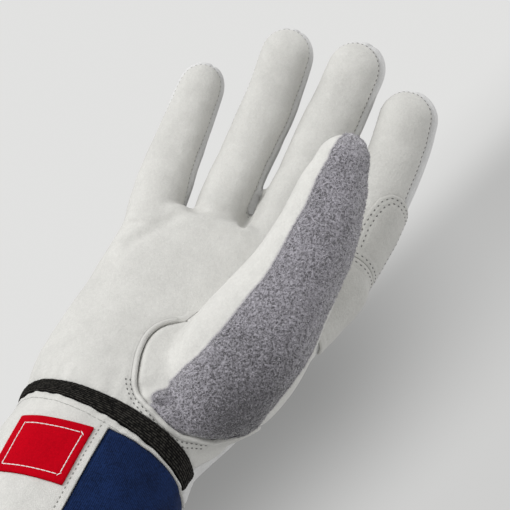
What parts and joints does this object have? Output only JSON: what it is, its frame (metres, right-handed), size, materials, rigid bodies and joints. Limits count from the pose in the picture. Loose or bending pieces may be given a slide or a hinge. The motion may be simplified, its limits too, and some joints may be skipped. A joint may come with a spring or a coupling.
{
  "type": "cross-country ski glove",
  "caption": "Right-hand cross-country ski glove of pale leather, with a fleece-covered thumb, an elastic wrist band and a short cuff with a navy inset.",
  "frame": {"origin": "middle of the wrist opening, at the level of the elastic band", "axes": "+Z from the wrist to the fingers, -Y the way the palm faces, +X the side of the thumb"},
  "size_m": [0.115, 0.1026, 0.2569],
  "materials": {
    "white_leather": "matt, fine-grained, off-white",
    "patch_leather": "matt, a little warmer than the palm",
    "white_softshell": "smooth stretch weave, white",
    "grey_fleece": "short brushed pile, mid grey",
    "black_elastic": "ribbed elastic, black",
    "navy_fabric": "fine twill, navy blue",
    "red_label": "smooth, plain red"
  },
  "bodies": {
    "root": {"palm_leather": "white_leather", "back_fabric": "white_softshell", "finger_side_1": "white_softshell", "finger_side_2": "white_softshell", "finger_side_3": "white_softshell", "thumb_leather": "white_leather", "thumb_fleece": "grey_fleece", "index_patch_upper": "patch_leather", "index_patch_lower": "patch_leather", "wrist_elastic": "black_elastic", "cuff_leather": "white_leather", "cuff_panel": "navy_fabric", "label_patch": "red_label"}
  },
  "joints": []
}
